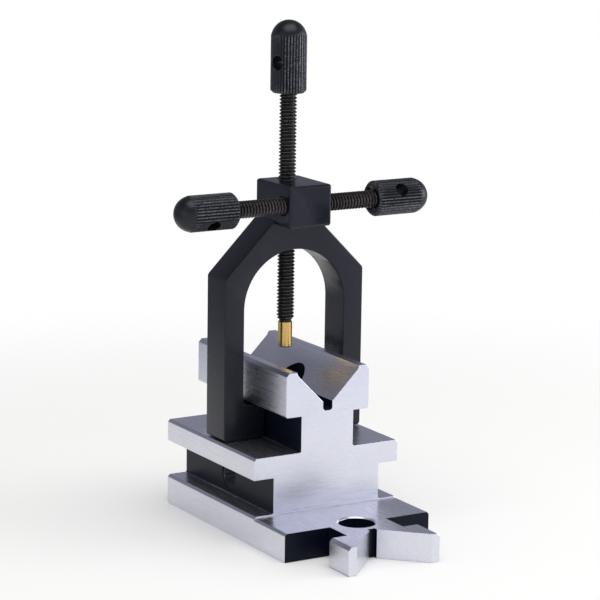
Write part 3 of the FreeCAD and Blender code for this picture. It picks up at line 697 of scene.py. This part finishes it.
def knurlTree():
    tree = bpy.data.node_groups.new("knurlAndBore", "GeometryNodeTree")
    addInputs(tree, [
        ("Geometry", "NodeSocketGeometry", None),
        ("Radius", "NodeSocketFloat", knob["radius"] * mm),
        ("Ridges", "NodeSocketFloat", float(knob["ridges"])),
        ("Groove Depth", "NodeSocketFloat", knob["grooveDepth"] * mm),
        ("Land", "NodeSocketFloat", knob["land"]),
        ("Knurl Length", "NodeSocketFloat", 0.02),
        ("Bar Radius", "NodeSocketFloat", knob["barRadius"] * mm),
        ("Bar Height", "NodeSocketFloat", 0.01),
        ("Countersink", "NodeSocketFloat", knob["countersink"] * mm),
        ("Material", "NodeSocketMaterial", None),
    ])
    given = addNode(tree, "NodeGroupInput").outputs
    place = addNode(tree, "GeometryNodeInputPosition")
    split = addNode(tree, "ShaderNodeSeparateXYZ", {0: place.outputs[0]})
    coneStart = knob["coneStart"] * mm
    sums = (
        # how far a point is from the axis, and how deep the groove is at its angle
        ("xSquared", "MULTIPLY", "x", "x"),
        ("ySquared", "MULTIPLY", "y", "y"),
        ("squared", "ADD", "xSquared", "ySquared"),
        ("radius", "SQRT", "squared"),
        ("angle", "ARCTAN2", "y", "x"),
        ("turned", "DIVIDE", "angle", 2 * pi),
        ("ridge", "MULTIPLY", "turned", "Ridges"),
        ("shifted", "ADD", "ridge", 0.5),
        ("phase", "FRACT", "shifted"),
        ("fromMiddle", "SUBTRACT", "phase", 0.5),
        ("halfRidge", "ABSOLUTE", "fromMiddle"),
        ("offCrest", "MULTIPLY", "halfRidge", 2.0),
        ("pastLand", "SUBTRACT", "offCrest", "Land"),
        ("flank", "SUBTRACT", 1.0, "Land"),
        ("grooveExact", "DIVIDE", "pastLand", "flank"),
        ("groove", "MAXIMUM", "grooveExact", 0.0),
        ("grooveDepth", "MULTIPLY", "groove", "Groove Depth"),
        ("bottom", "SUBTRACT", "Radius", "grooveDepth"),
        # only the band below the dome is drawn in to the groove
        ("bandTop", "ADD", "Knurl Length", 0.001 * mm),
        ("inBand", "LESS_THAN", "z", "bandTop"),
        ("wanted", "MINIMUM", "radius", "bottom"),
        ("offAxis", "MAXIMUM", "radius", 0.01 * mm),
        ("shrink", "DIVIDE", "wanted", "offAxis"),
        ("change", "SUBTRACT", "shrink", 1.0),
        ("bandChange", "MULTIPLY", "inBand", "change"),
        ("scale", "ADD", "bandChange", 1.0),
        ("newX", "MULTIPLY", "x", "scale"),
        ("newY", "MULTIPLY", "y", "scale"),
        # where the finish wears bright
        ("proud", "SUBTRACT", 1.0, "groove"),
        ("proudBand", "MULTIPLY", "inBand", "proud"),
        ("sideFrom", "MULTIPLY", "Radius", knob["sideShare"]),
        ("onSide", "GREATER_THAN", "radius", "sideFrom"),
        ("crest", "MULTIPLY", "proudBand", "onSide"),
        # the drill, and the 45 degree cone at each mouth
        ("drillLength", "MULTIPLY", "Radius", 3.0),
        ("coneDepth", "ADD", "Countersink", 2 * coneStart),
        ("coneBottom", "SUBTRACT", "Bar Radius", coneStart),
        ("sink", "ADD", "Countersink", coneStart),
        ("coneTop", "ADD", "Bar Radius", "sink"),
        ("mouth", "SUBTRACT", "Radius", "sink"),
    )
    known = {socket.name: socket for socket in given}
    known.update(x=split.outputs["X"], y=split.outputs["Y"], z=split.outputs["Z"])
    for name, operation, *parts in sums:
        taken = {slot: known.get(part, part) for slot, part in enumerate(parts)}
        known[name] = addNode(tree, "ShaderNodeMath", taken, operation=operation).outputs[0]

    knurled = addNode(tree, "ShaderNodeCombineXYZ", {0: known["newX"], 1: known["newY"], 2: known["z"]})
    marked = addNode(tree, "GeometryNodeStoreNamedAttribute", {
        "Geometry": given["Geometry"], "Name": "crest", "Value": known["crest"]},
        data_type="FLOAT", domain="POINT")
    cut = addNode(tree, "GeometryNodeSetPosition", {
        "Geometry": marked.outputs[0], "Position": knurled.outputs[0]})
    through = addNode(tree, "GeometryNodeMeshCylinder", {
        "Vertices": knob["boreSides"], "Radius": given["Bar Radius"], "Depth": known["drillLength"]})
    flare = addNode(tree, "GeometryNodeMeshCone", {
        "Vertices": knob["boreSides"], "Radius Bottom": known["coneBottom"],
        "Radius Top": known["coneTop"], "Depth": known["coneDepth"]})
    lift = addNode(tree, "ShaderNodeCombineXYZ", {2: known["mouth"]})
    topFlare = addNode(tree, "GeometryNodeTransform", {0: flare.outputs[0], "Translation": lift.outputs[0]})
    lowFlare = addNode(tree, "GeometryNodeTransform", {0: topFlare.outputs[0], "Rotation": (pi, 0, 0)})
    raised = addNode(tree, "ShaderNodeCombineXYZ", {2: given["Bar Height"]})
    bored = addNode(tree, "GeometryNodeMeshBoolean", {
        "Mesh 1": cut.outputs[0]}, operation="DIFFERENCE", solver="EXACT")
    for cutter in (through, topFlare, lowFlare):
        laid = addNode(tree, "GeometryNodeTransform", {
            0: cutter.outputs[0], "Translation": raised.outputs[0], "Rotation": (pi / 2, 0, 0)})
        tree.links.new(laid.outputs[0], bored.inputs["Mesh 2"])
    shaded = smoothWithSharpEdges(tree, bored.outputs[0], radians(knob["sharpAngle"]))
    real = addNode(tree, "GeometryNodeRealizeInstances", {0: shaded.outputs[0]})
    coated = addNode(tree, "GeometryNodeSetMaterial", {0: real.outputs[0], "Material": given["Material"]})
    addNode(tree, "NodeGroupOutput", {0: coated.outputs[0]})
    return tree


windThread = threadTree()
cutKnurl = knurlTree()
print("node trees built")


# ---- the three screws, each made upright and laid on its axis

screwSets = {
    # tip, thread and knurl lengths in mm, height of the bar hole, its turn in degrees
    "main": {"axis": "Z", "tip": 9.3, "thread": 83.2, "knurl": 20.8, "bar": 11.0, "turn": 108},
    "left": {"axis": "-X", "tip": 2.8, "thread": 24.8, "knurl": 17.7, "bar": 9.8, "turn": -46},
    "right": {"axis": "X", "tip": 2.8, "thread": 24.8, "knurl": 17.7, "bar": 9.8, "turn": -34},
}
screwEnd = {
    # mm
    "tipRadius": 2.6,
    "tipChamfer": 0.4,
    "endPlay": 0.1,
    "neckRun": 0.6,
    "neckRadius": 2.2,
    "spigotRadius": 1.2,
    "spigotLength": 1.9,
    "spigotClearance": 0.05,
    "socketDepth": 2.0,
    "seatReach": 0.5,       # core above the floor of the knob's dish
    "tipSides": 64,
    "coreSides": 48,
}
layDown = {
    "Z": Matrix.Identity(4),
    "X": Matrix.Rotation(pi / 2, 4, "Y"),
    "-X": Matrix.Rotation(-pi / 2, 4, "Y"),
}


def tipStart(side):
    # the free end of the tip, on the screw's axis
    low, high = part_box(side + "_tip")
    middle = (low + high) / 2
    if side == "main":
        return Vector((middle.x, middle.y, low.z))
    return Vector((high.x if side == "left" else low.x, middle.y, middle.z))


def addPiece(side, kind, mesh, place, body):
    mesh.transform(place)
    piece = newPiece("%s%s" % (side, kind.capitalize()), mesh)
    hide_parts("%s_%s" % (side, kind))
    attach(piece, body)
    return piece


def makeScrewSet(side, sizes):
    place = Matrix.Translation(tipStart(side)) @ layDown[sizes["axis"]]
    neckStart = sizes["tip"] + screwEnd["endPlay"]
    threadStart = neckStart + screwEnd["neckRun"]
    knobStart = threadStart + sizes["thread"]

    chamfer = screwEnd["tipChamfer"]
    socket = screwEnd["spigotRadius"] + screwEnd["spigotClearance"]
    tip = turnedMesh("tip", [
        (0, 0), (screwEnd["tipRadius"] - chamfer, 0), (screwEnd["tipRadius"], chamfer),
        (screwEnd["tipRadius"], sizes["tip"]), (socket, sizes["tip"]),
        (socket, sizes["tip"] - screwEnd["socketDepth"]),
        (0, sizes["tip"] - screwEnd["socketDepth"])], screwEnd["tipSides"], brassBright)
    addPiece(side, "tip", tip, place, side + "_feed")

    core = turnedMesh("core", [
        (0, neckStart - screwEnd["spigotLength"]),
        (screwEnd["spigotRadius"], neckStart - screwEnd["spigotLength"]),
        (screwEnd["spigotRadius"], neckStart), (screwEnd["neckRadius"], neckStart),
        (screwEnd["neckRadius"], knobStart + knob["dish"] + screwEnd["seatReach"]),
        (0, knobStart + knob["dish"] + screwEnd["seatReach"])], screwEnd["coreSides"], threadBlack)
    wound = runTree("thread", windThread, {
        "Length": (sizes["thread"] + knob["dish"]) * mm, "Material": threadBlack})
    wound.transform(Matrix.Translation((0, 0, threadStart * mm)))
    joined = bmesh.new()
    joined.from_mesh(core)
    joined.from_mesh(wound)
    screw = bpy.data.meshes.new("screw")
    joined.to_mesh(screw)
    joined.free()
    screw.materials.append(threadBlack)
    addPiece(side, "screw", screw, place, side + "_spindle")

    blankSides = knob["ridges"] * knob["facetsPerRidge"]
    blank = turnedMesh("blank", knobProfile(sizes["knurl"]), blankSides, knurlBlack)
    finished = runTree("knob", cutKnurl, {
        "Knurl Length": sizes["knurl"] * mm, "Bar Height": sizes["bar"] * mm, "Material": knurlBlack}, blank)
    turned = Matrix.Translation((0, 0, knobStart * mm)) @ Matrix.Rotation(radians(sizes["turn"]), 4, "Z")
    addPiece(side, "knob", finished, place @ turned, side + "_spindle")
    print(side, "screw made,", len(screw.polygons), "thread faces and", len(finished.polygons), "knob faces")


for side, sizes in screwSets.items():
    makeScrewSet(side, sizes)
